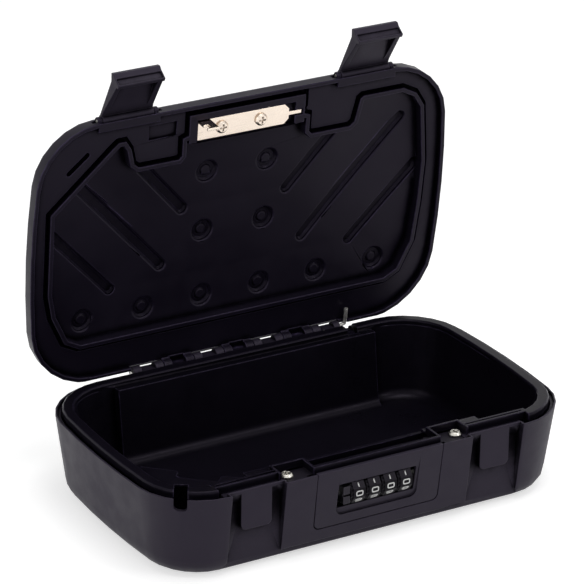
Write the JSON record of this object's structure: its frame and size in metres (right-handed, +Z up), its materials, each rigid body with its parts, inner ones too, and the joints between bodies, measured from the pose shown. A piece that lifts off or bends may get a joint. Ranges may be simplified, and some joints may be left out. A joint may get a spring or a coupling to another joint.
{
  "type": "portable car safe",
  "caption": "Portable lock box with a drafted tub, hinged shallow lid, snap latches, number-wheel lock and a notch in the rim for a tether cable.",
  "frame": {"origin": "centre of the flat face that the safe rests on", "axes": "+X to the right along the length, +Y to the back where the hinge is, +Z up"},
  "size_m": [0.213, 0.1383, 0.1936],
  "materials": {
    "shell_plastic": "fine satin texture",
    "lid_plastic": "fine satin texture",
    "inner_plastic": "satin",
    "panel_plastic": "fine satin texture",
    "wheel_plastic": "half gloss, white digits on the wheels",
    "strike_nickel": "bright nickel plate",
    "screw_steel": "zinc plated",
    "lock_steel": "plain",
    "pin_steel": "drawn wire",
    "sleeve_brass": "turned"
  },
  "bodies": {
    "base": {"base_shell": "shell_plastic", "base_liner": "inner_plastic", "lock_panel": "panel_plastic", "lock_case": "inner_plastic", "case_screw_left": "screw_steel", "case_screw_right": "screw_steel", "dial_spring": "lock_steel", "slide_spring": "lock_steel"},
    "release": {"release_slide": "wheel_plastic", "latch_bolt": "lock_steel", "dial_axle": "lock_steel"},
    "wheel_1": {"dial_1": "wheel_plastic", "sleeve_1": "sleeve_brass"},
    "wheel_2": {"dial_2": "wheel_plastic", "sleeve_2": "sleeve_brass"},
    "wheel_3": {"dial_3": "wheel_plastic", "sleeve_3": "sleeve_brass"},
    "wheel_4": {"dial_4": "wheel_plastic", "sleeve_4": "sleeve_brass"},
    "lid": {"lid_shell": "lid_plastic", "strike_plate": "strike_nickel", "strike_screw_left": "strike_nickel", "strike_screw_right": "strike_nickel", "hinge_pin": "pin_steel", "latch_pin_left": "pin_steel", "latch_pin_right": "pin_steel"},
    "left_latch": {"latch_left": "lid_plastic"},
    "right_latch": {"latch_right": "lid_plastic"}
  },
  "joints": [
    {"name": "lid_hinge", "type": "hinge", "parent": "base", "child": "lid", "pos_m": [0, 0.0652, 0.0399], "axis": [1, 0, 0], "range_deg": [0, 84.2]},
    {"name": "left_latch_hinge", "type": "hinge", "parent": "lid", "child": "left_latch", "pos_m": [-0.0604, 0.05509, 0.16914], "axis": [1, 0, 0], "range_deg": [0, 70]},
    {"name": "right_latch_hinge", "type": "hinge", "parent": "lid", "child": "right_latch", "pos_m": [0.0604, 0.05509, 0.16914], "axis": [1, 0, 0], "range_deg": [0, 70]},
    {"name": "release_push", "type": "slide", "parent": "base", "child": "release", "axis": [-1, 0, 0], "range_m": [0, 0.0016], "stiffness_N_per_m": 300, "springref_m": -0.002, "deforming": ["slide_spring"]},
    {"name": "wheel_1_turn", "type": "hinge", "parent": "base", "child": "wheel_1", "pos_m": [-0.0107, -0.0581, 0.026], "axis": [1, 0, 0], "continuous": true},
    {"name": "wheel_2_turn", "type": "hinge", "parent": "base", "child": "wheel_2", "pos_m": [-0.00277, -0.0581, 0.026], "axis": [1, 0, 0], "continuous": true},
    {"name": "wheel_3_turn", "type": "hinge", "parent": "base", "child": "wheel_3", "pos_m": [0.00516, -0.0581, 0.026], "axis": [1, 0, 0], "continuous": true},
    {"name": "wheel_4_turn", "type": "hinge", "parent": "base", "child": "wheel_4", "pos_m": [0.01309, -0.0581, 0.026], "axis": [1, 0, 0], "continuous": true}
  ]
}
